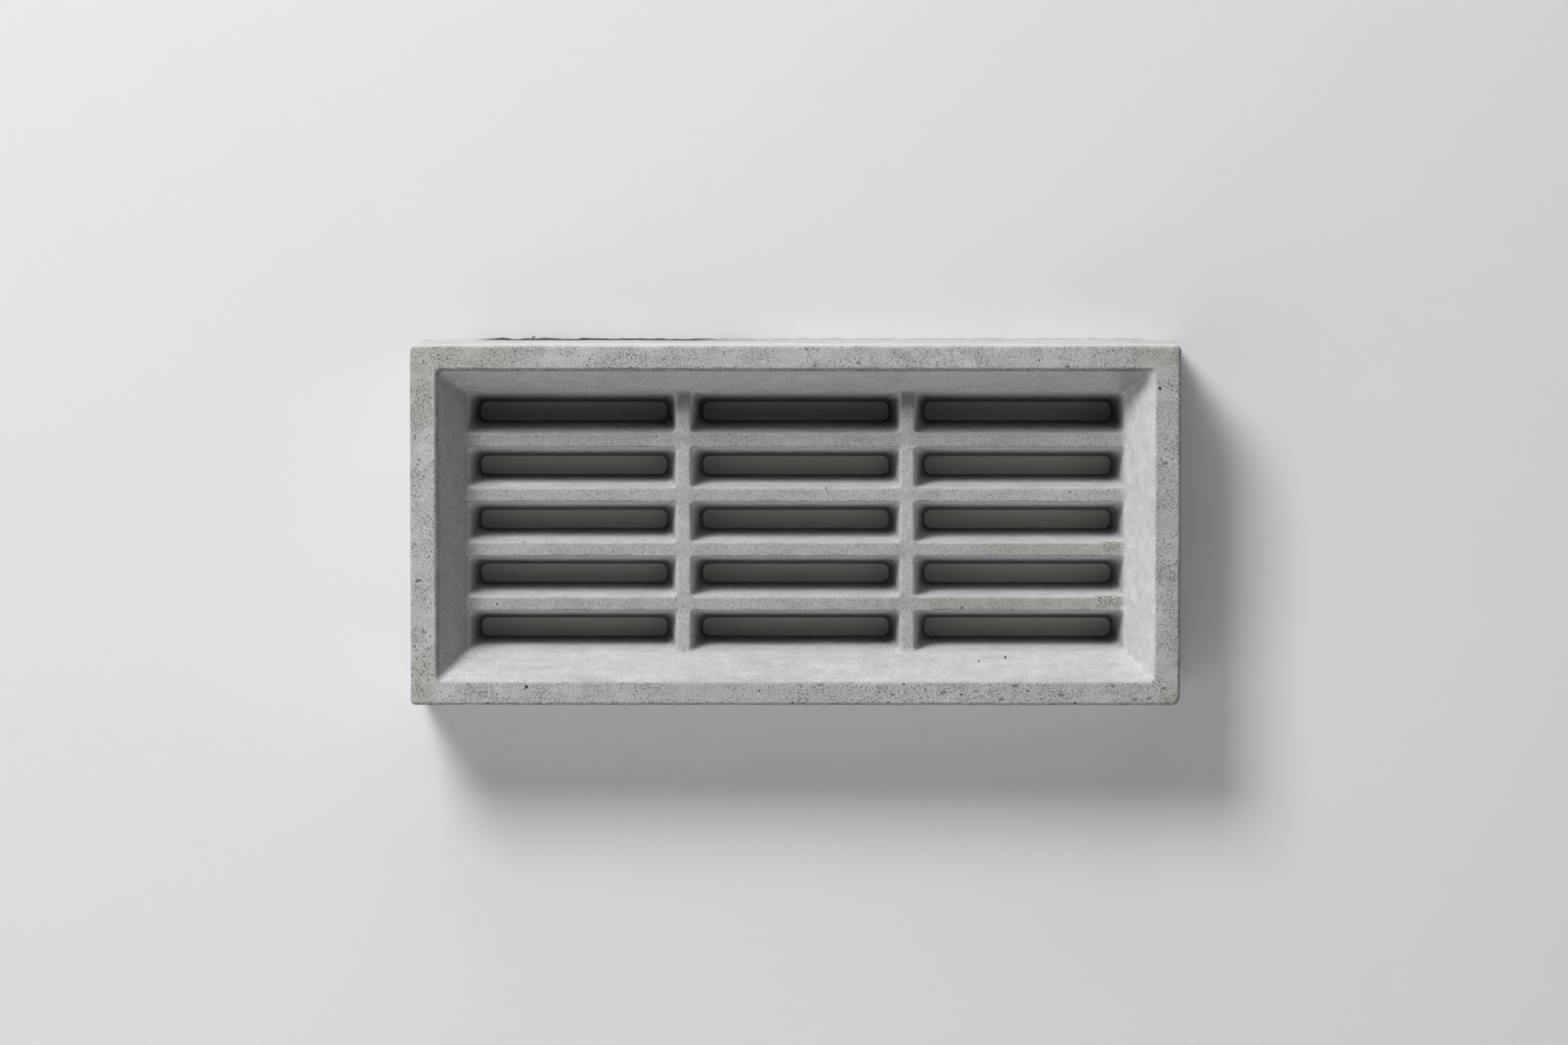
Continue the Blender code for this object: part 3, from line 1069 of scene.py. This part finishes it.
# Behind each slot the wall shows as a dim panel, edged with a band of painted shade where the
# slot's back opening meets the wall. The panel is only as big as the slot's back opening, and it
# too is seen from its front only.
panel_lap = 0.0009
panel_dark_to = 0.0001
panel_lit_from = -0.0010
panel_y = back_y + 0.0001
# The panel's edge colour is painted shade round the back opening, and its middle is painted a
# little paler than the wall, for light.
panel_shade_colour = (0.30, 0.29, 0.27, 1.0)
panel_colour = (0.90, 0.883, 0.832, 1.0)


def back_outline(grow):
    """Round each slot's back opening, grown by so much, anticlockwise as seen from the front:
    straight sides and a quarter circle at each corner. (slots, points, 3)"""
    across = (column_pitch - back_web) / 2 + grow
    up = (row_pitch - back_web) / 2 + grow
    radius = back_corner + grow
    angle = np.linspace(0, np.pi / 2, steps_corner) + np.arange(4)[:, None] * np.pi / 2
    x = np.array([1, -1, -1, 1])[:, None] * (across - radius) + radius * np.cos(angle)
    z = np.array([1, 1, -1, -1])[:, None] * (up - radius) + radius * np.sin(angle)
    outline = np.stack([x, np.zeros(x.shape), z], axis=-1).reshape(-1, 3)
    places_x = (np.arange(columns) - (columns - 1) / 2) * column_pitch
    places_z = middle_z - back_drop + (np.arange(rows) - (rows - 1) / 2) * row_pitch
    centres = [(x, panel_y, z) for z in places_z for x in places_x]
    return np.array(centres)[:, None, :] + outline


panel_grows = (panel_lap, panel_dark_to, panel_lit_from)
panels = np.stack([back_outline(grow) for grow in panel_grows], axis=1)
panel_lit = np.broadcast_to(np.array([0.0, 0.0, 1.0])[:, None], panels.shape[:3])
panel_rings, panel_points = panels.shape[1:3]
panel_size = panel_rings * panel_points
panel_faces = []
for first in range(0, len(panels) * panel_size, panel_size):
    panel_faces += quads(panel_rings, panel_points, first).tolist()
    panel_faces.append(range(first + panel_size - panel_points, first + panel_size))
panel_mesh = bpy.data.meshes.new("slot_panels")
panel_mesh.from_pydata(panels.reshape(-1, 3), [], panel_faces)
panel_mesh.attributes.new("lit", "FLOAT", "POINT").data.foreach_set("value", panel_lit.ravel())
panel_paint = one_sided("slot_panel_paint", wall_white)
panel_tree = panel_paint.node_tree
lit_share = node(panel_tree, "Attribute", attribute_name="lit").outputs["Fac"]
lit_smoothly = spread(panel_tree, lit_share, 0.0, 1.0)
lit_mix = {0: lit_smoothly, 6: panel_shade_colour, 7: panel_colour}
lit_colour = node(panel_tree, "Mix", lit_mix, data_type="RGBA").outputs[2]
panel_tree.links.new(lit_colour, panel_tree.nodes["Principled BSDF"].inputs["Base Color"])
panel_mesh.materials.append(panel_paint)
slot_panels = bpy.data.objects.new("slot_panels", panel_mesh)
bpy.context.scene.collection.objects.link(slot_panels)

# Light: a window-sized soft lamp high on the left, a wide soft one overhead, one behind the wall
# that reaches only the block's back and its slots, and a room that adds almost nothing.
block_middle = Vector((0.0, 0.0, middle_z))


def soft_lamp(name, place, across, up, energy):
    """A plain rectangular lamp that faces the block and isn't seen itself."""
    data = bpy.data.lights.new(name, "AREA")
    data.shape = "RECTANGLE"
    data.size = across
    data.size_y = up
    data.energy = energy
    lamp = bpy.data.objects.new(name, data)
    lamp.location = place
    lamp.rotation_euler = (block_middle - lamp.location).to_track_quat("-Z", "Y").to_euler()
    lamp.visible_camera = False
    bpy.context.scene.collection.objects.link(lamp)


soft_lamp("window", (-1.06, -2.05, 1.97), across=1.05, up=0.98, energy=63.0)
soft_lamp("overhead", (-0.2, -0.9, 2.1), across=2.0, up=1.1, energy=9.8)
soft_lamp("behind", (-0.9, 2.4, 1.1), across=1.0, up=0.8, energy=36.0)

room = bpy.data.worlds.new("room")
bpy.context.scene.world = room
room.use_nodes = True
room_light = 0.005
room_seen = 0.85
camera_ray = node(room.node_tree, "LightPath").outputs["Is Camera Ray"]
seen = spread(room.node_tree, camera_ray, 0.0, 1.0, room_light, room_seen)
room.node_tree.nodes["Background"].inputs["Color"].default_value = (1.0, 1.0, 1.0, 1.0)
room.node_tree.links.new(seen, room.node_tree.nodes["Background"].inputs["Strength"])

# The camera: a little above the middle of the block and looking slightly down at it, from about
# four metres with a long lens, so that the block's upright edges stay upright.
camera_away = 3.9
camera_rise = math.radians(3.8)
camera_x = 0.010
aim_x = -0.006
aim_z = 0.0968
frame_width = 0.8253
camera_clip = 20.0
camera_data = bpy.data.cameras.new("camera")
camera_data.lens = camera_data.sensor_width * camera_away / frame_width
camera_data.clip_end = camera_clip
camera = bpy.data.objects.new("camera", camera_data)
camera_target = Vector((aim_x, front_y, aim_z))
camera.location = (
    camera_x,
    front_y - camera_away * math.cos(camera_rise),
    camera_target.z + camera_away * math.sin(camera_rise),
)
camera.rotation_euler = (camera_target - camera.location).to_track_quat("-Z", "Y").to_euler()
bpy.context.scene.collection.objects.link(camera)
bpy.context.scene.camera = camera

bpy.context.scene.view_settings.view_transform = "Standard"
